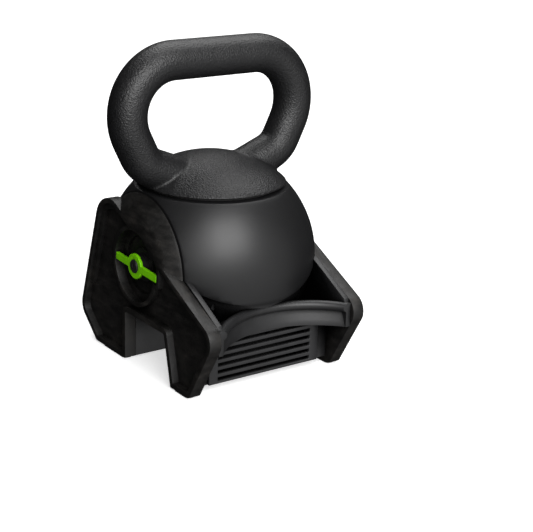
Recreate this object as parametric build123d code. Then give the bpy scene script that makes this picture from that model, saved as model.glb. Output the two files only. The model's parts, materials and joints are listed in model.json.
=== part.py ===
from build123d import *
import os
from math import cos, radians, sin, sqrt

os.makedirs("parts", exist_ok=True)

# ---------------------------------------------------------------- driving dimensions (mm)
# The whole kettlebell is laid out about the centre of its ball and lifted into place at the end.
BALL_R = 91.0            # ball shell and cheeks share this sphere
BALL_Z = 88.8            # ball centre above the floor
BALL_Y = 13.7            # ball centre behind the middle of the overall box

GRIP_R = 16.6            # handle bar section
GRIP_TOP = 170.9         # centreline height of the straight grip
LEG_X = 82.8             # centreline of the vertical legs
LEG_Z = 117.5            # where a leg starts to lean inwards
NECK_X, NECK_Z = 67.4, 86.1   # where it turns in towards the cap
ROOT_X, ROOT_Z = 18.9, 67.0   # where the centreline ends inside the cap
GRIP_CORNER, LEG_BEND, NECK_BEND = 42.8, 43.6, 24.3   # centreline bend radii

CAP_Z = 65.7             # underside of the cast cap
CAP_R, CAP_DROP = 97.5, 7.3    # the cap's dome, a little flatter than the ball
GROOVE = 3.2             # dark groove between cap and shell
LIP_Z, LIP_SLOPE = 44.2, 0.722   # the lip plane: z = LIP_Z - LIP_SLOPE * |y|
SHELL_IN_R = 85.5        # inside of the ball shell
SKIN_OUT_R = 88.0        # lower skin, recessed under the shell's lip
CORE_R = 85.0            # cast weight inside the skin
CORE_SIDE = 63.0         # flat cast sides
CORE_TOP, CORE_BOTTOM = 57.5, -38.0
END_IN, END_OUT = 63.6, 65.8   # flat end walls of shell and tray

POST = 45.0              # square post under the cap
SOCKET = 50.0            # square socket through the weight
POST_BOTTOM = -31.5
POST_LEAD = 2.5          # chamfer that guides the post into its socket
SOCKET_CORNER = 3.0
LINER_GAP = 0.2          # play all round the socket liner
TOP_HOLE = SOCKET + 8    # square hole in the shell's top and in the gasket
GASKET_R = 57.0
MAT_R, MAT_X, MAT_HOLE = 72.0, 56.0, SOCKET + 10   # mat under the weight
# The two moon-shaped pits in the weight.
PIT_R, PIT_INNER, PIT_FLOOR, PIT_CORNER = 58.0, 34.0, -4.0, 5.0

DECK_TOP, DECK_BOTTOM = -40.6, -44.1
WALL = 3.0
PLATE_IN, PLATE_RELIEF, PLATE_OUT = 66.6, 67.0, 77.4   # inner face, ball clearance, outer face
FRONT_Z, FRONT_SLOPE = 33.6, 0.4844   # the plates' front edge: z = FRONT_Z + FRONT_SLOPE * y
RIM = 4.6                # raised edge round each side plate
TRAY_FLOOR = 71.4        # recessed face of the side plate
LEDGE_W, LEDGE_H, LEDGE_FRONT, LEDGE_LOW = 5.0, 3.2, 30.0, -37.0   # step inside the steep rear edge
FOOT_Z = -87.4           # underside of the plastic feet
PAD_INSET, PAD_CORNER = 1.0, 4.0
FLOOR_Z = -BALL_Z

ARC_R, ARC_Y = 82.0, -167.5    # plan arc of the front wall's foot
ARC_LEAN = 5.0           # how much wider that arc is at the band: the wall leans back
WALL_T = 5.0             # thickness of that wall
BAND_R, BAND_Z = 4.2, -27.0    # round band along the wall's top: section and height
BAND_ARC_R, BAND_ARC_Y = 78.5, -160.0    # plan arc of the band
HORN_TIP = -114.5        # front end of the pocket sides
HORN_REAR, HORN_SHOULDER, HORN_RISE = -50.0, -80.0, 1.5   # where they stand above the plates
REAR_WALL = 79.0         # back of the rear wall
REAR_TOP, REAR_SIDE = -14.0, 50.0    # top of that wall, and where its returns start
HORN_IN, HORN_OUT = 61.8, 66.3  # side walls of the front pockets

TUNNEL_FRONT, TUNNEL_REAR = -63.0, 13.0
BEAM_FRONT, BEAM_REAR = -82.5, 54.0
BEAM_X = 66.6            # half length of the beams, plate to plate
CAVITY_X = 54.0          # half length of their hollow
FRONT_BOTTOM, REAR_BOTTOM = -82.0, -87.0   # undersides of the front and rear beams
BEAM_FLOOR = 2.0         # thickness of their floor
SCREW_BITE = 3.9         # how far the plate screws reach into the plates
SCREW_R, SCREW_HOLE_R, SCREW_PLAY_R = 2.0, 2.02, 2.1   # shank, threaded hole, clearance hole
HEAD_R, HEAD_SEAT_R, DECK_HEAD_H, PLATE_HEAD_H = 3.9, 4.2, 2.0, 3.2
DECK_SHANK = 10.0        # length of the deck screws' shanks
BOSS_R, BOSS_DEPTH = 4.6, 11.0
GRILLE_X, SLOT_X = 55.6, 47.0   # half lengths of a grille and of its slots
SLOT_H, SLOT_PITCH, SLOTS, SLOT_LOW = 3.2, 6.2, 6, 2.4

PIN_R = 9.4
BORE_R = 9.48
WELL_R, WELL_FLOOR = 31.2, 68.5
SUMP_R, SUMP_FLOOR = 25.0, 66.0
POCKET_R = 36.2
POCKET_LOW, POCKET_HIGH = -10.5, 24.0   # degrees, measured up from the front
WELL_WALL, WELL_LIP = 3.6, 0.9    # the wall round the well, and how far it stays below the plate's edge
HUB_WALL, HUB_HOLE = 5.4, 6.2     # round the sump: the plate's hub and the tray's hole for it
BUSH_R, BUSH_FLANGE_R, BUSH_FLANGE_T = 11.98, 14.5, 1.2
BUSH_SEAT_R = 12.0
TEE_IN, TEE_OUT = 73.8, 76.2
TEE_FRONT, TEE_REAR, TEE_H = 34.6, 30.4, 6.4
TEE_SINK = 1.2           # counterbore for the washer and screw
TEE_RING_R = 10.8
TEE_CORNER, TEE_EDGE = 0.9, 0.5
TEE_TILT = 2.5           # degrees, the long front end a little low when locked
TEE_SEAT_R, WASHER_R, WASHER_TOP = 6.2, 5.9, 0.4
TEE_SCREW_R, TEE_SCREW_HOLE_R, TEE_HEAD_R, TEE_HEAD_H = 3.0, 3.05, 5.7, 1.0
TEE_SCREW_DEPTH = 14.0   # how far its screw goes into the pin
PIN_TIP, PIN_HEAD = 14.0, 73.4   # inner and outer ends of a locking pin
PIN_LEAD = 1.6
RING_X = 64.9            # middle of the rubber ring's groove
RING_HALF, GROOVE_HALF, RING_R = 1.0, 1.1, 9.42
RING_GROOVE_R = 8.2

BIG = 400.0


# ---------------------------------------------------------------- helpers
def slab(low_x, high_x):
    """Everything between two planes across X."""
    return Pos((low_x + high_x) / 2, 0, 0) * Box(high_x - low_x, BIG, BIG)


def layer(low_z, high_z):
    """Everything between two heights."""
    return Pos(0, 0, (low_z + high_z) / 2) * Box(BIG, BIG, high_z - low_z)


def block(x0, x1, y0, y1, z0, z1):
    """A box from its corners."""
    return Pos((x0 + x1) / 2, (y0 + y1) / 2, (z0 + z1) / 2) * Box(x1 - x0, y1 - y0, z1 - z0)


def along_x(radius, x0, x1, y=0.0, z=0.0):
    """A round bar lying along X."""
    return Pos((x0 + x1) / 2, y, z) * Rot(0, 90, 0) * Cylinder(radius, abs(x1 - x0))


def upright(radius, x, y, z0, z1):
    """A round bar standing along Z."""
    return Pos(x, y, (z0 + z1) / 2) * Cylinder(radius, z1 - z0)


def side_prism(sketch, x0, x1):
    """A sketch drawn as (y, z), extruded from x0 to x1."""
    plane = Plane(origin=(x0, 0, 0), x_dir=(0, 1, 0), z_dir=(1, 0, 0))
    return extrude(plane * sketch, amount=x1 - x0, dir=(1, 0, 0))


def lip_wedge(clearance=0.0):
    """The space above the two lip planes that meet over the ball's axis."""
    reach = 200.0
    low = LIP_Z - LIP_SLOPE * reach + clearance
    top = LIP_Z + clearance
    outline = Polygon((-reach, low), (0, top), (reach, low), (reach, reach), (-reach, reach), align=None)
    return side_prism(outline, -BIG / 2, BIG / 2)


def mirrored(shape):
    return mirror(shape, about=Plane.YZ)


def placed(shape):
    return Pos(0, BALL_Y, BALL_Z) * shape


def save(name, shape):
    solids = [s for s in placed(shape).solids()]
    whole = solids[0] if len(solids) == 1 else Compound(children=solids)
    export_step(whole, f"parts/{name}.step")
    print(name, len(solids), round(sum(s.volume for s in solids)))


# ---------------------------------------------------------------- handle casting
def make_handle():
    right = [(LEG_X, GRIP_TOP), (LEG_X, LEG_Z), (NECK_X, NECK_Z), (ROOT_X, ROOT_Z)]
    left = [(-x, z) for x, z in reversed(right)]
    corners = [NECK_BEND, LEG_BEND, GRIP_CORNER]
    points = [(x, 0, z) for x, z in left + right]
    path = FilletPolyline(*points, radius=corners + corners[::-1])
    section = Plane(origin=path @ 0, z_dir=path % 0) * Circle(GRIP_R)
    bow = sweep(section, path=path)
    cap = Pos(0, 0, -CAP_DROP) * Sphere(CAP_R) & layer(CAP_Z, BIG / 4)
    top = (bow & layer(CAP_Z, BIG / 2)) + cap
    post = block(-POST / 2, POST / 2, -POST / 2, POST / 2, POST_BOTTOM, CAP_Z)
    post = chamfer(post.faces().sort_by(Axis.Z)[0].edges(), POST_LEAD)
    post = post - along_x(BORE_R, -POST, POST)
    return top + post


# ---------------------------------------------------------------- weight, shell and soft seats
def make_core():
    body = Sphere(CORE_R) & layer(CORE_BOTTOM, CORE_TOP) & slab(-CORE_SIDE, CORE_SIDE)
    socket = fillet(Box(SOCKET, SOCKET, BIG).edges().filter_by(Axis.Z), SOCKET_CORNER)
    body = body - socket - along_x(BORE_R, -BIG / 4, BIG / 4)
    for side in (-1, 1):
        outer_half = Pos(0, side * (PIT_INNER + PIT_R / 2)) * Rectangle(3 * PIT_R, PIT_R)
        moon = fillet((Circle(PIT_R) & outer_half).vertices(), PIT_CORNER)
        body = body - extrude(Pos(0, 0, PIT_FLOOR) * moon, amount=CORE_TOP - PIT_FLOOR + 1)
    return body


def make_socket_liner():
    outside, inside = SOCKET - 2 * LINER_GAP, POST + 2 * LINER_GAP
    outer = Box(outside, outside, CORE_TOP - CORE_BOTTOM - 1)
    outer = fillet(outer.edges().filter_by(Axis.Z), SOCKET_CORNER)
    liner = outer - Box(inside, inside, BIG)
    liner = Pos(0, 0, (CORE_TOP + CORE_BOTTOM) / 2) * liner
    return liner - along_x(BORE_R + 0.3, -POST, POST)


def make_shell():
    top_z = CAP_Z - GROOVE
    body = Sphere(BALL_R) & slab(-END_OUT, END_OUT) & layer(-BALL_R, top_z) & lip_wedge()
    hollow = Sphere(SHELL_IN_R) & slab(-END_IN, END_IN) & layer(-BALL_R, CORE_TOP + 0.3)
    return body - hollow - Box(TOP_HOLE, TOP_HOLE, BIG)


def make_cap_gasket():
    ring = upright(GASKET_R, 0, 0, CAP_Z - GROOVE, CAP_Z)
    return ring - Box(TOP_HOLE, TOP_HOLE, BIG)


def make_core_mat():
    mat = upright(MAT_R, 0, 0, DECK_TOP, CORE_BOTTOM) & slab(-MAT_X, MAT_X)
    return mat - Box(MAT_HOLE, MAT_HOLE, BIG)


# ---------------------------------------------------------------- moulded base
def front_line(y, drop=0.0):
    """Height of the side plates' sloping front edge."""
    return FRONT_Z + FRONT_SLOPE * y - drop


def make_base_tray():
    # Lower skin of the ball, from the deck to the lip planes.
    bowl = Sphere(SKIN_OUT_R) & slab(-END_OUT, END_OUT) & layer(DECK_BOTTOM, BALL_R)
    inside = Sphere(SHELL_IN_R) & slab(-END_IN, END_IN) & layer(DECK_TOP, BALL_R)

    # The hollow front: a leaning wall with a round band along its top, horn to horn.
    rise = BAND_Z - DECK_BOTTOM
    arc_cut = Pos(0, ARC_Y, DECK_BOTTOM + rise / 2) * Cone(ARC_R, ARC_R + ARC_LEAN, rise)
    arc_cut = arc_cut + upright(ARC_R, 0, ARC_Y, DECK_BOTTOM - 5, DECK_BOTTOM + 0.01)
    between_horns = block(-HORN_OUT, HORN_OUT, HORN_TIP, -60, -BIG, BIG)
    deck = block(-HORN_OUT, HORN_OUT, HORN_TIP, REAR_WALL, DECK_BOTTOM, DECK_TOP)
    wall = Pos(0, ARC_Y, DECK_BOTTOM + rise / 2) * Cone(ARC_R + WALL_T, ARC_R + ARC_LEAN + WALL_T, rise)
    wall = (wall & between_horns) + deck - arc_cut
    band = Pos(0, BAND_ARC_Y, BAND_Z) * Torus(BAND_ARC_R, BAND_R)
    wall = wall + (band & between_horns)

    # Thin pocket sides that run up beside the plates' front edges.
    profile = Polygon((HORN_TIP, DECK_BOTTOM), (HORN_REAR, DECK_BOTTOM),
                      (HORN_REAR, front_line(HORN_REAR, -HORN_RISE)),
                      (HORN_SHOULDER, front_line(HORN_SHOULDER, -HORN_RISE)),
                      (HORN_TIP + 4, front_line(HORN_TIP + 4)),
                      (HORN_TIP, BAND_Z - 2), align=None)
    horn = side_prism(profile, HORN_IN, HORN_OUT)
    horn = horn - (Sphere(SKIN_OUT_R - 0.5) & slab(-END_OUT, END_OUT))
    horn = horn - ball_relief(END_OUT - 1, HORN_OUT + 1)

    # Straight rear wall.
    rear = block(-HORN_OUT, HORN_OUT, REAR_WALL - WALL, REAR_WALL, DECK_BOTTOM, REAR_TOP)
    side_wall = block(HORN_IN, HORN_OUT, REAR_SIDE, REAR_WALL, DECK_BOTTOM, REAR_TOP)
    rear = rear + side_wall + mirrored(side_wall)
    rear = rear - Sphere(SKIN_OUT_R - 0.5)

    tray = bowl + wall + horn + mirrored(horn) + rear
    shell_space = Sphere(BALL_R + 0.3) & lip_wedge(-0.3)
    tray = tray - shell_space - inside - along_x(SUMP_R + HUB_HOLE, -BIG / 4, BIG / 4)
    for x, y in deck_screw_spots():
        tray = tray - upright(SCREW_PLAY_R, x, y, -BIG, BIG)
        tray = tray - upright(HEAD_SEAT_R, x, y, DECK_TOP - DECK_HEAD_H, DECK_TOP + 5)
    return tray


def deck_screw_spots():
    return [(x, y) for y in (-72.0, 40.0) for x in (-44.0, -15.0, 15.0, 44.0)]


def make_deck_screws():
    screws = []
    for x, y in deck_screw_spots():
        seat = DECK_TOP - DECK_HEAD_H
        head = upright(HEAD_R, x, y, seat, DECK_TOP)
        shank = upright(SCREW_R, x, y, seat - DECK_SHANK, seat)
        drive = Pos(x, y, DECK_TOP - 0.6) * extrude(RegularPolygon(1.6, 6), amount=2)
        screws.append(head + shank - drive)
    return Compound(children=screws)


def make_beam(y_wall, y_open, bottom):
    """A hollow leg under the deck: a solid wall on the tunnel side, a grille on the other."""
    low, high = min(y_wall, y_open), max(y_wall, y_open)
    top = DECK_BOTTOM
    beam = block(-BEAM_X, BEAM_X, low, high, bottom, top)
    inner_low = low + WALL if y_wall == low else low - 1
    inner_high = high - WALL if y_wall == high else high + 1
    cavity = block(-CAVITY_X, CAVITY_X, inner_low, inner_high, bottom + BEAM_FLOOR, top - WALL)
    beam = beam - cavity
    for x, y in deck_screw_spots():
        if low < y < high:
            beam = beam + upright(BOSS_R, x, y, top - BOSS_DEPTH, top - WALL + 1)
            beam = beam - upright(SCREW_HOLE_R, x, y, top - BOSS_DEPTH + 0.5, top + 1)
    for side in (-1, 1):
        for y, z in plate_screw_spots():
            if low < y < high:
                beam = beam - along_x(SCREW_PLAY_R, side * (CAVITY_X - 1), side * (BEAM_X + 1), y, z)
    return beam


def make_grille(y_face, outward, bottom):
    """A slotted panel that closes the open side of a beam."""
    y0, y1 = sorted((y_face, y_face + outward * WALL))
    panel = block(-GRILLE_X, GRILLE_X, y0, y1, bottom, DECK_BOTTOM - 0.2)
    for i in range(SLOTS):
        z0 = FRONT_BOTTOM + SLOT_LOW + SLOT_PITCH * i
        panel = panel - block(-SLOT_X, SLOT_X, y0 - 1, y1 + 1, z0, z0 + SLOT_H)
    return panel


# ---------------------------------------------------------------- side plates
def plate_outline():
    """The A-shaped outline as (y, z): sloping front, steep rear, and the arch between the feet."""
    corners = [(53.8, 59.6, 25.0), (91.6, -63.3, 14.0), (63.6, FOOT_Z, 4.0),
               (TUNNEL_REAR, FOOT_Z, 1.0), (TUNNEL_REAR, DECK_BOTTOM, 2.0),
               (-49.5, DECK_BOTTOM, 2.0), (-60.5, FOOT_Z, 1.0), (-88.5, FOOT_Z, 4.0),
               (-124.1, front_line(-124.1), 13.9)]
    outline = Polygon(*[(y, z) for y, z, _ in corners], align=None)
    for y, z, radius in corners:
        outline = fillet(outline.vertices().sort_by_distance((y, z, 0))[0], radius)
    return outline


def well_outline(radius, pocket, grow):
    """The round well with a pocket in front for the long end of the tee handle."""
    reach = 2 * pocket
    angles = [radians(a) for a in (POCKET_LOW, (POCKET_LOW + POCKET_HIGH) / 2, POCKET_HIGH)]
    fan = Polygon((0, 0), *[(-reach * cos(a), reach * sin(a)) for a in angles], align=None)
    shape = Circle(radius) + (Circle(pocket) & fan)
    return offset(shape, amount=grow) if grow else shape


def ball_relief(x0, x1):
    """A cone that clears the ball between two planes across X."""
    near, far = (sqrt((BALL_R + 0.6) ** 2 - x * x) for x in (x0, x1))
    return Pos((x0 + x1) / 2, 0, 0) * Rot(0, 90, 0) * Cone(near, far, x1 - x0)


def plate_screw_spots():
    return [(-73.5, -56.0), (-73.5, -72.0), (34.0, -56.0), (34.0, -72.0)]


def make_side_plate():
    outline = plate_outline()
    plate = side_prism(outline, PLATE_IN, PLATE_OUT)
    tray_face = offset(outline, amount=-RIM)
    plate = plate - side_prism(tray_face, TRAY_FLOOR, PLATE_OUT + 1)
    # Ledge along the steep rear edge.
    ledge = tray_face - offset(outline, amount=-RIM - LEDGE_W)
    ledge = ledge & (Pos(LEDGE_FRONT + BIG / 2, LEDGE_LOW + BIG / 2) * Rectangle(BIG, BIG))
    plate = plate + side_prism(ledge, TRAY_FLOOR - 0.5, TRAY_FLOOR + LEDGE_H)
    # Cheek: the ball's sphere carried on past the plate's front edge.
    front, rear, top = -120.0, 60.0, 110.0
    above = Polygon((front, front_line(front, 4)), (rear, front_line(rear, 4)), (rear, top), (front, top),
                    align=None)
    cheek = Sphere(BALL_R) & side_prism(above, PLATE_RELIEF, PLATE_OUT)
    plate = plate + cheek
    plate = plate - ball_relief(PLATE_IN - 1, PLATE_RELIEF)
    # Well and hub.
    hub = along_x(SUMP_R + HUB_WALL, END_IN, WELL_FLOOR + 1)
    rim = side_prism(well_outline(WELL_R, POCKET_R, WELL_WALL), PLATE_RELIEF, PLATE_OUT - WELL_LIP)
    plate = plate + hub + rim
    plate = plate - side_prism(well_outline(WELL_R, POCKET_R, 0), WELL_FLOOR, PLATE_OUT + 1)
    plate = plate - along_x(SUMP_R, SUMP_FLOOR, WELL_FLOOR + 1)
    plate = plate - along_x(BUSH_SEAT_R, END_IN - 1, SUMP_FLOOR + 1)
    # Blind holes for the screws that come through the beams' ends.
    for y, z in plate_screw_spots():
        plate = plate - along_x(SCREW_HOLE_R, BEAM_X - 1, BEAM_X + SCREW_BITE + 0.2, y, z)
    return plate


def make_foot_pads():
    x0, x1 = PLATE_IN + PAD_INSET, PLATE_OUT - PAD_INSET
    rear = block(x0, x1, TUNNEL_REAR + 3 * PAD_INSET, BEAM_REAR, FLOOR_Z, FOOT_Z)
    front = block(x0, x1, BEAM_FRONT - 2.5, TUNNEL_FRONT - 0.5, FLOOR_Z, FOOT_Z)
    pads = [fillet(pad.edges().filter_by(Axis.Z), PAD_CORNER) for pad in (rear, front)]
    return Compound(children=pads)


def make_plate_screws():
    screws = []
    for y, z in plate_screw_spots():
        shank = along_x(SCREW_R, CAVITY_X, BEAM_X + SCREW_BITE, y, z)
        head = along_x(HEAD_R, CAVITY_X - PLATE_HEAD_H, CAVITY_X, y, z)
        drive = Plane(origin=(CAVITY_X - PLATE_HEAD_H - 0.1, y, z), z_dir=(1, 0, 0))
        drive = drive * RegularPolygon(1.8, 6)
        screws.append(head + shank - extrude(drive, amount=2.2))
    return Compound(children=screws)


# ---------------------------------------------------------------- locking pins and tee handles
def make_pin_bush():
    sleeve = along_x(BUSH_R, END_IN, SUMP_FLOOR + 0.5)
    flange = along_x(BUSH_FLANGE_R, SUMP_FLOOR, SUMP_FLOOR + BUSH_FLANGE_T)
    return sleeve + flange - along_x(BORE_R, END_IN - 1, SUMP_FLOOR + 3)


def make_lock_pin():
    pin = along_x(PIN_R, PIN_TIP, PIN_HEAD)
    pin = chamfer(pin.faces().sort_by(Axis.X)[0].edges(), PIN_LEAD)
    groove = along_x(PIN_R + 1, RING_X - GROOVE_HALF, RING_X + GROOVE_HALF)
    groove = groove - along_x(RING_GROOVE_R, RING_X - 2, RING_X + 2)
    return pin - groove - along_x(TEE_SCREW_HOLE_R, PIN_HEAD - TEE_SCREW_DEPTH - 2, PIN_HEAD + 1)


def make_pin_ring():
    ring = along_x(RING_R, RING_X - RING_HALF, RING_X + RING_HALF)
    return ring - along_x(RING_GROOVE_R, RING_X - 2, RING_X + 2)


def make_tee_handle():
    bar = Pos((TEE_REAR - TEE_FRONT) / 2, 0) * Rectangle(TEE_FRONT + TEE_REAR, TEE_H)
    bar = fillet(bar.vertices(), TEE_CORNER)
    tee = side_prism(Rot(0, 0, TEE_TILT) * bar + Circle(TEE_RING_R), TEE_IN, TEE_OUT)
    face = tee.faces().sort_by(Axis.X)[-1]
    tee = fillet(face.edges(), TEE_EDGE)
    tee = tee + along_x(PIN_R, PIN_HEAD, TEE_IN + 0.5)
    tee = tee - along_x(TEE_SEAT_R, TEE_OUT - TEE_SINK, TEE_OUT + 1)
    return tee - along_x(TEE_SCREW_HOLE_R, PIN_HEAD - 1, TEE_OUT)


def make_tee_washer():
    disc = along_x(WASHER_R, TEE_OUT - TEE_SINK, TEE_OUT - WASHER_TOP)
    return disc - along_x(TEE_SCREW_R + 0.1, TEE_OUT - 3, TEE_OUT)


def make_tee_screw():
    head = along_x(TEE_HEAD_R, TEE_OUT - WASHER_TOP, TEE_OUT + TEE_HEAD_H)
    head = fillet(head.faces().sort_by(Axis.X)[-1].edges(), 0.6)
    shank = along_x(TEE_SCREW_R, PIN_HEAD - TEE_SCREW_DEPTH, TEE_OUT - WASHER_TOP)
    drive = Plane(origin=(TEE_OUT - 0.6, 0, 0), z_dir=(1, 0, 0)) * RegularPolygon(2.0, 6)
    return head + shank - extrude(drive, amount=3)


# ---------------------------------------------------------------- write every node
save("handle", make_handle())
save("core_weight", make_core())
save("socket_liner", make_socket_liner())
save("ball_shell", make_shell())
save("cap_gasket", make_cap_gasket())
save("core_mat", make_core_mat())
save("base_tray", make_base_tray())
save("deck_screws", make_deck_screws())
save("front_beam", make_beam(TUNNEL_FRONT, BEAM_FRONT, FRONT_BOTTOM))
save("rear_beam", make_beam(TUNNEL_REAR, BEAM_REAR, REAR_BOTTOM))
save("front_grille", make_grille(BEAM_FRONT, -1, FRONT_BOTTOM))
save("rear_grille", make_grille(BEAM_REAR, 1, REAR_BOTTOM))

PAIRS = {
    "side_plate": make_side_plate,
    "foot_pads": make_foot_pads,
    "plate_screws": make_plate_screws,
    "pin_bush": make_pin_bush,
    "lock_pin": make_lock_pin,
    "pin_ring": make_pin_ring,
    "tee_handle": make_tee_handle,
    "tee_washer": make_tee_washer,
    "tee_screw": make_tee_screw,
}
for name, make in PAIRS.items():
    right_one = make()
    save(f"{name}_right", right_one)
    save(f"{name}_left", mirrored(right_one))
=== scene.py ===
import json
import math

import bmesh
import bpy
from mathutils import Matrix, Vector


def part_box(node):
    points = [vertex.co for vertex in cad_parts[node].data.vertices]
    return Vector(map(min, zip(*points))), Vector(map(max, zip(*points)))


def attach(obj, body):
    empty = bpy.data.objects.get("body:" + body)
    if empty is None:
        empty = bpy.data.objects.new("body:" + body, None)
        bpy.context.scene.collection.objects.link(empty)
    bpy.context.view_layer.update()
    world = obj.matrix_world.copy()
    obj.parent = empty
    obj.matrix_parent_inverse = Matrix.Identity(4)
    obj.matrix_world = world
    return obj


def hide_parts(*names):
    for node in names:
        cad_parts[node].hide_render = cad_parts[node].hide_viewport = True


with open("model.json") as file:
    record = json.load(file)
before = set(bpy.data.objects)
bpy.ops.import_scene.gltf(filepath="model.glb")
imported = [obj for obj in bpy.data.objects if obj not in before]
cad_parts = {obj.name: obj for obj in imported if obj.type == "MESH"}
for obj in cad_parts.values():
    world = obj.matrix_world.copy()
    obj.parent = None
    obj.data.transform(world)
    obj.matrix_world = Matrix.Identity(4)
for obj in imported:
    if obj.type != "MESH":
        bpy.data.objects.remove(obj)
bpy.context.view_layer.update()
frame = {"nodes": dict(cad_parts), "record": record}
NODES = frame["nodes"]

BODY = "kettlebell"
TEES = {"left": "left_tee", "right": "right_tee"}

# ------------------------------------------------------------ places read from the frame
# The locking pins run through the middle of the ball.
PIN_LOW, PIN_HIGH = (Vector(corner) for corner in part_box("lock_pin_left"))
BALL = Vector((0.0, (PIN_LOW.y + PIN_HIGH.y) / 2, (PIN_LOW.z + PIN_HIGH.z) / 2))


# ------------------------------------------------------------ camera
# The eye stands to the left of the front, above the ball, and is rolled by a small angle.
LENS, SENSOR = 94.56, 36.0
YAW, PITCH, ROLL = math.radians(36.24), math.radians(18.51), math.radians(1.91)
EYE_UNIT = 0.090         # metres; the next three count in it, from the ball's centre
EYE_RIGHT, EYE_BACK, EYE_UP = 0.549, 12.847, 4.180

ahead = Vector((math.sin(YAW), math.cos(YAW), 0.0))
right = Vector((math.cos(YAW), -math.sin(YAW), 0.0))
camera = bpy.data.objects.new("camera", bpy.data.cameras.new("camera"))
camera.data.lens, camera.data.sensor_width = LENS, SENSOR
camera.location = BALL + (right * EYE_RIGHT - ahead * EYE_BACK + Vector((0, 0, EYE_UP))) * EYE_UNIT
camera.rotation_euler = (math.pi / 2 - PITCH, 0.0, -YAW)
camera.rotation_euler.rotate_axis("Z", ROLL)
bpy.context.scene.collection.objects.link(camera)
bpy.context.scene.camera = camera


# ------------------------------------------------------------ materials
# Painted shade: an ambient occlusion node darkens the colour and the sheen of the moulded and plate plastics
# in hollows, where shade falls.
HOLLOW_SAMPLES = 8
WALLED_IN, OPEN_AIR = 0.25, 0.85     # how open a hollow is where its painted shade is darkest and where that shade ends
FULL_SHEEN = 0.5         # specular level of plain plastic
BASE_HOLLOW, PLATE_HOLLOW = 0.035, 0.030      # metres across that count as a hollow
BASE_PAINTED_SHADE, PLATE_PAINTED_SHADE, GRILLE_PAINTED_SHADE = 0.06, 0.12, 0.8    # share of the colour and sheen left where the painted shade is darkest


class Shade:
    """A small helper that lays out one material's nodes."""

    def __init__(self, name):
        self.material = bpy.data.materials.new(name)
        self.material.use_nodes = True
        self.tree = self.material.node_tree
        self.surface = self.tree.nodes["Principled BSDF"]
        self.place = self.add("ShaderNodeTexCoord").outputs["Object"]

    def add(self, kind, **settings):
        node = self.tree.nodes.new(kind)
        for key, value in settings.items():
            setattr(node, key, value)
        return node

    def join(self, source, target):
        self.tree.links.new(source, target)

    def noise(self, scale, detail=4.0, rough=0.55, stretch=None):
        node = self.add("ShaderNodeTexNoise")
        node.inputs["Scale"].default_value = scale
        node.inputs["Detail"].default_value = detail
        node.inputs["Roughness"].default_value = rough
        place = self.place
        if stretch:
            mapping = self.add("ShaderNodeMapping")
            mapping.inputs["Scale"].default_value = stretch
            self.join(place, mapping.inputs["Vector"])
            place = mapping.outputs["Vector"]
        self.join(place, node.inputs["Vector"])
        return node.outputs["Fac"]

    def cells(self, scale):
        node = self.add("ShaderNodeTexVoronoi", feature="SMOOTH_F1")
        node.inputs["Scale"].default_value = scale
        node.inputs["Smoothness"].default_value = 1.0
        self.join(self.place, node.inputs["Vector"])
        return node.outputs["Distance"]

    def ramp(self, source, *stops):
        node = self.add("ShaderNodeValToRGB")
        elements = node.color_ramp.elements
        while len(elements) < len(stops):
            elements.new(0.5)
        for element, (at, colour) in zip(elements, stops):
            element.position = at
            element.color = (*colour, 1.0)
        self.join(source, node.inputs["Fac"])
        return node.outputs["Color"]

    def span(self, source, low, high, start=0.0, stop=1.0):
        node = self.add("ShaderNodeMapRange")
        node.inputs["From Min"].default_value, node.inputs["From Max"].default_value = start, stop
        node.inputs["To Min"].default_value, node.inputs["To Max"].default_value = low, high
        self.join(source, node.inputs["Value"])
        return node.outputs["Result"]

    def blend(self, mode, factor, first, second):
        node = self.add("ShaderNodeMix", data_type="RGBA", blend_type=mode)
        node.inputs["Factor"].default_value = factor
        for socket, value in (("A", first), ("B", second)):
            target = [s for s in node.inputs if s.identifier == f"{socket}_Color"][0]
            self.join(value, target)
        return [s for s in node.outputs if s.identifier == "Result_Color"][0]

    def math(self, operation, first, second):
        node = self.add("ShaderNodeMath", operation=operation)
        for index, value in enumerate((first, second)):
            if isinstance(value, (int, float)):
                node.inputs[index].default_value = value
            else:
                self.join(value, node.inputs[index])
        return node.outputs["Value"]

    def paint_hollow_shade(self, colour, reach, floor):
        """Paints shade into a colour, and dims the sheen with it, where the surface is closely walled in."""
        node = self.add("ShaderNodeAmbientOcclusion", samples=HOLLOW_SAMPLES)
        node.inputs["Distance"].default_value = reach
        painted_shade_share = self.span(node.outputs["AO"], floor, 1.0, WALLED_IN, OPEN_AIR)
        self.join(self.math("MULTIPLY", painted_shade_share, FULL_SHEEN), self.surface.inputs["Specular IOR Level"])
        return self.blend("MULTIPLY", 1.0, colour, painted_shade_share)

    def bump(self, height, strength, distance, under=None):
        node = self.add("ShaderNodeBump")
        node.inputs["Strength"].default_value = strength
        node.inputs["Distance"].default_value = distance
        self.join(height, node.inputs["Height"])
        if under is not None:
            self.join(under, node.inputs["Normal"])
        return node.outputs["Normal"]

    def finish(self, colour=None, roughness=None, normal=None, **constants):
        for key, value in (("Base Color", colour), ("Roughness", roughness), ("Normal", normal)):
            if value is None:
                continue
            if isinstance(value, tuple):
                self.surface.inputs[key].default_value = (*value, 1.0)
            elif isinstance(value, float):
                self.surface.inputs[key].default_value = value
            else:
                self.join(value, self.surface.inputs[key])
        for key, value in constants.items():
            self.surface.inputs[key.replace("_", " ")].default_value = value
        return self.material


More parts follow.
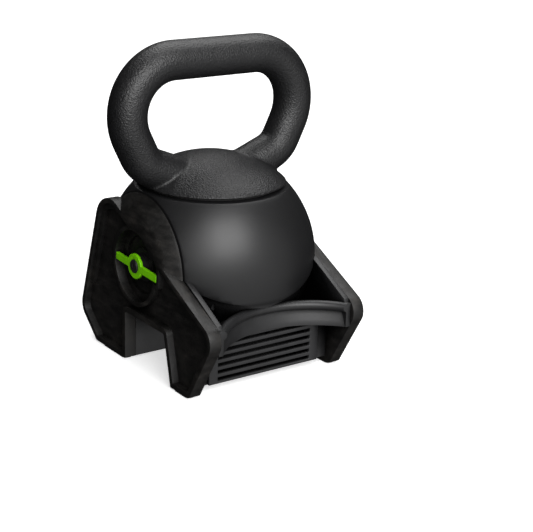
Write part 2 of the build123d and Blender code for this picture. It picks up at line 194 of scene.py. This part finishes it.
def coated_iron():
    """Black powder coat over a sand casting: fine pebbles over slow waves, with painted highlights on the
    pebbles.
    """
    s = Shade("coated_iron")
    pebbles = s.cells(760.0)
    grain = s.noise(1500.0, 3.0)
    waves = s.noise(70.0, 3.0)
    slow = s.bump(waves, 0.22, 0.0012)
    coarse = s.bump(pebbles, 0.50, 0.0008, slow)
    fine = s.bump(grain, 0.45, 0.0004, coarse)
    tone = s.ramp(s.noise(26.0, 5.0), (0.30, (0.0055, 0.0055, 0.006)), (0.75, (0.009, 0.009, 0.0095)))
    # Painted highlight: each pebble cell is lighter in its middle than at its rim.
    painted_pebble_highlights = s.ramp(pebbles, (0.15, (0.018, 0.018, 0.019)), (0.55, (0.0045, 0.0045, 0.005)))
    colour = s.blend("MIX", 0.35, tone, painted_pebble_highlights)
    return s.finish(colour, s.span(s.noise(180.0), 0.34, 0.50), fine)


def shell_plastic():
    """Satin skin of the ball with an almost invisible grain."""
    s = Shade("shell_plastic")
    grain = s.noise(2600.0, 2.0)
    cloud = s.noise(18.0, 3.0)
    normal = s.bump(grain, 0.12, 0.00012)
    colour = s.ramp(cloud, (0.25, (0.0065, 0.0065, 0.007)), (0.80, (0.009, 0.009, 0.0095)))
    return s.finish(colour, s.span(s.noise(45.0, 5.0), 0.38, 0.46), normal)


def moulded_plastic(name, dark, light, rough, painted_shade=BASE_PAINTED_SHADE):
    """Satin moulded plastic for the base, with painted shade darkening its hollows."""
    s = Shade(name)
    grain = s.noise(1900.0, 3.0)
    flow = s.noise(60.0, 4.0, stretch=(1.0, 0.35, 1.0))
    normal = s.bump(flow, 0.10, 0.0006, s.bump(grain, 0.18, 0.00016))
    # Painted shade: the flow colour and the sheen are darkened in hollows.
    colour = s.paint_hollow_shade(s.ramp(flow, (0.30, dark), (0.75, light)), BASE_HOLLOW, painted_shade)
    return s.finish(colour, s.span(s.noise(30.0, 5.0), rough - 0.05, rough + 0.06), normal)


def plate_plastic():
    """Black glass-filled plastic with a dusty brown mottle, and painted shade in its hollows."""
    s = Shade("plate_plastic")
    clouds = s.noise(38.0, 7.0, 0.68)
    streaks = s.noise(85.0, 6.0, 0.62, stretch=(1.0, 0.55, 1.9))
    dust = s.ramp(s.math("MULTIPLY", clouds, streaks),
                  (0.16, (0.0035, 0.0033, 0.0031)),
                  (0.30, (0.0105, 0.0095, 0.0085)),
                  (0.46, (0.030, 0.026, 0.022)))
    grain = s.noise(1300.0, 4.0)
    normal = s.bump(clouds, 0.15, 0.0012, s.bump(grain, 0.28, 0.0003))
    # Painted shade: the dusty mottle is darkened in hollows, and the sheen with it.
    return s.finish(s.paint_hollow_shade(dust, PLATE_HOLLOW, PLATE_PAINTED_SHADE), s.span(streaks, 0.40, 0.66, 0.3, 0.7), normal)


def tee_plastic():
    """Bright green moulding."""
    s = Shade("tee_plastic")
    grain = s.noise(1700.0, 2.0)
    colour = s.ramp(s.noise(90.0, 3.0), (0.3, (0.205, 0.720, 0.002)), (0.7, (0.240, 0.790, 0.003)))
    return s.finish(colour, s.span(s.noise(240.0), 0.34, 0.44), s.bump(grain, 0.12, 0.0002))


def soft_rubber(name):
    """Matte rubber."""
    s = Shade(name)
    grain = s.noise(1100.0, 4.0)
    colour = s.ramp(s.noise(60.0), (0.3, (0.008, 0.008, 0.008)), (0.7, (0.016, 0.016, 0.016)))
    return s.finish(colour, s.span(grain, 0.70, 0.88), s.bump(grain, 0.3, 0.0003))


def turned_metal(name, dark, light, rough, metallic=1.0):
    """Metal with turning marks round the X axis."""
    s = Shade(name)
    marks = s.noise(400.0, 3.0, stretch=(9.0, 0.5, 0.5))
    colour = s.ramp(marks, (0.3, dark), (0.7, light))
    roughness = s.span(marks, rough - 0.08, rough + 0.08)
    return s.finish(colour, roughness, s.bump(marks, 0.15, 0.0002), Metallic=metallic)


MATERIALS = {
    "coated_iron": coated_iron(),
    "raw_iron": turned_metal("raw_iron", (0.020, 0.020, 0.021), (0.04, 0.04, 0.042), 0.6, 0.3),
    "shell_plastic": shell_plastic(),
    # The base, grille and liner plastics carry painted shade in their hollows; the grille's is faint.
    "base_plastic": moulded_plastic("base_plastic", (0.011, 0.011, 0.0115), (0.018, 0.018, 0.019), 0.42),
    "grille_plastic": moulded_plastic("grille_plastic", (0.014, 0.014, 0.015), (0.021, 0.021, 0.022),
                                      0.42, GRILLE_PAINTED_SHADE),
    "plate_plastic": plate_plastic(),
    "liner_plastic": moulded_plastic("liner_plastic", (0.03, 0.03, 0.03), (0.05, 0.05, 0.05), 0.5),
    "seal_rubber": soft_rubber("seal_rubber"),
    "foot_rubber": soft_rubber("foot_rubber"),
    "tee_plastic": tee_plastic(),
    "pin_steel": turned_metal("pin_steel", (0.040, 0.040, 0.042), (0.075, 0.074, 0.075), 0.38, 0.8),
    "washer_steel": turned_metal("washer_steel", (0.22, 0.22, 0.23), (0.34, 0.34, 0.35), 0.38),
    "black_screw": turned_metal("black_screw", (0.035, 0.034, 0.036), (0.07, 0.068, 0.07), 0.42, 0.7),
    "bush_metal": turned_metal("bush_metal", (0.012, 0.012, 0.012), (0.024, 0.023, 0.022), 0.50, 0.4),
}


# ------------------------------------------------------------ carry the CAD nodes over
SLOT_OF = {entry["node"]: entry["material_slot"] for entry in frame["record"]["subparts"]}


def dress(node):
    """Gives a CAD node its slot's material."""
    piece = NODES[node]
    piece.data.materials.clear()
    piece.data.materials.append(MATERIALS[SLOT_OF[node]])


for node_name in NODES:
    dress(node_name)


# ------------------------------------------------------------ moulded and cast edges
WELD = 2e-6              # metres between points that are one
COPLANAR = math.radians(0.1)
BEVEL_STEPS = 2


def skin(node, body, name, *modifiers, sharp=40.0):
    """A copy of a CAD node, reshaped by modifiers, that takes the node's place."""
    source = NODES[node]
    mesh = source.data.copy()
    build = bmesh.new()
    build.from_mesh(mesh)
    bmesh.ops.remove_doubles(build, verts=build.verts, dist=WELD)
    bmesh.ops.dissolve_limit(build, angle_limit=COPLANAR, verts=build.verts, edges=build.edges)
    build.to_mesh(mesh)
    build.free()
    draft = bpy.data.objects.new(name + "_draft", mesh)
    bpy.context.scene.collection.objects.link(draft)
    for kind, settings in modifiers:
        step = draft.modifiers.new(kind.lower(), kind)
        for key, value in settings.items():
            setattr(step, key, value)
    shaped = bpy.data.meshes.new_from_object(draft.evaluated_get(bpy.context.evaluated_depsgraph_get()))
    bpy.data.objects.remove(draft)
    for face in shaped.polygons:
        face.use_smooth = True
    shaped.set_sharp_from_angle(angle=math.radians(sharp))
    piece = bpy.data.objects.new(name, shaped)
    bpy.context.scene.collection.objects.link(piece)
    piece.matrix_world = source.matrix_world.copy()
    shaped.materials.clear()
    shaped.materials.append(MATERIALS[SLOT_OF[node]])
    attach(piece, body)
    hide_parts(node)
    return piece


def round_edges(width, angle=32.0):
    """Rounds every edge that turns by more than an angle in degrees."""
    return ("BEVEL", {"width": width, "segments": BEVEL_STEPS, "limit_method": "ANGLE",
                      "angle_limit": math.radians(angle), "use_clamp_overlap": True})


skin("handle", BODY, "handle_casting", ("REMESH", {"mode": "VOXEL", "voxel_size": 0.0013}),
     ("SMOOTH", {"factor": 0.5, "iterations": 8}), sharp=80.0)
skin("ball_shell", BODY, "ball_skin", round_edges(0.0009))
skin("base_tray", BODY, "base_moulding", round_edges(0.0007))
for place in ("front", "rear"):
    skin(place + "_grille", BODY, place + "_louvre", round_edges(0.0006))
    skin(place + "_beam", BODY, place + "_leg_moulding", round_edges(0.0008))
for side in ("left", "right"):
    # The rim where a plate's cheek ends turns by about 32 degrees, and is left alone.
    skin("side_plate_" + side, BODY, side + "_plate_moulding", round_edges(0.0006, angle=38.0))
    skin("tee_handle_" + side, TEES[side], side + "_tee_moulding", round_edges(0.0004))


# ------------------------------------------------------------ floor and lights
def plane(name, size):
    mesh = bpy.data.meshes.new(name)
    build = bmesh.new()
    bmesh.ops.create_grid(build, x_segments=1, y_segments=1, size=size)
    build.to_mesh(mesh)
    build.free()
    piece = bpy.data.objects.new(name, mesh)
    bpy.context.scene.collection.objects.link(piece)
    return piece


FLOOR_REACH = 20.0       # metres from the middle to each edge
floor = plane("floor", FLOOR_REACH)
FLOOR_DIM, FLOOR_BRIGHT = 0.60, 1.00
FLOOR_NEAR, FLOOR_FAR = 0.35, 1.3     # metres; the sweep glows more evenly away from the object
floor_shade = Shade("pale_floor")
reach = floor_shade.add("ShaderNodeVectorMath", operation="LENGTH")
floor_shade.join(floor_shade.place, reach.inputs[0])
glow = floor_shade.span(reach.outputs["Value"], FLOOR_DIM, FLOOR_BRIGHT, FLOOR_NEAR, FLOOR_FAR)
floor_shade.join(glow, floor_shade.surface.inputs["Emission Strength"])
floor.data.materials.append(floor_shade.finish((0.80, 0.80, 0.80), 0.8, Emission_Color=(1.0, 1.0, 1.0, 1.0)))
floor.visible_diffuse = False
floor.visible_glossy = False
floor.visible_shadow = False


def lamp(name, place, size, power):
    """A square soft light that faces the ball."""
    light = bpy.data.lights.new(name, "AREA")
    light.energy, light.size = power, size
    piece = bpy.data.objects.new(name, light)
    piece.location = place
    piece.rotation_euler = (BALL - place).to_track_quat("-Z", "Y").to_euler()
    bpy.context.scene.collection.objects.link(piece)


def from_camera(sideways, towards, up):
    """A place about the ball, sideways to the eye's right, towards the eye, and up."""
    return BALL + right * sideways - ahead * towards + Vector((0, 0, up))


lamp("top_softbox", from_camera(0.2, -0.6, 1.5), size=1.5, power=24.0)
lamp("front_softbox", from_camera(0.60, 1.32, 0.94), size=1.15, power=29.0)
lamp("camera_softbox", from_camera(-0.20, 1.9, 0.70), size=1.3, power=8.0)

# The eye sees a white backdrop; the object is lit by a soft glow from the front right.
DIM, GLOW = 0.015, 0.75
GLOW_EDGE = 0.25         # cosine of the angle from the glow's middle at which it ends
GLOW_FROM = (right * 0.62 - ahead * 0.72 + Vector((0, 0, -0.05))).normalized()
world = bpy.data.worlds.new("studio")
world.use_nodes = True
sky = world.node_tree
backdrop = sky.nodes["Background"]
backdrop.inputs["Color"].default_value = (1.0, 1.0, 1.0, 1.0)
heading = sky.nodes.new("ShaderNodeTexCoord")
towards_glow = sky.nodes.new("ShaderNodeVectorMath")
towards_glow.operation = "DOT_PRODUCT"
towards_glow.inputs[1].default_value = GLOW_FROM
lobe = sky.nodes.new("ShaderNodeMapRange")
lobe.interpolation_type = "SMOOTHSTEP"
lobe.inputs["From Min"].default_value, lobe.inputs["From Max"].default_value = GLOW_EDGE, 1.0
lobe.inputs["To Min"].default_value, lobe.inputs["To Max"].default_value = DIM, GLOW
rays = sky.nodes.new("ShaderNodeLightPath")
level = sky.nodes.new("ShaderNodeMix")
sky.links.new(heading.outputs["Generated"], towards_glow.inputs[0])
sky.links.new(towards_glow.outputs["Value"], lobe.inputs["Value"])
sky.links.new(rays.outputs["Is Camera Ray"], level.inputs["Factor"])
sky.links.new(lobe.outputs["Result"], level.inputs["A"])
level.inputs["B"].default_value = 1.0
sky.links.new(level.outputs["Result"], backdrop.inputs["Strength"])
bpy.context.scene.world = world
bpy.context.scene.view_settings.view_transform = "Standard"
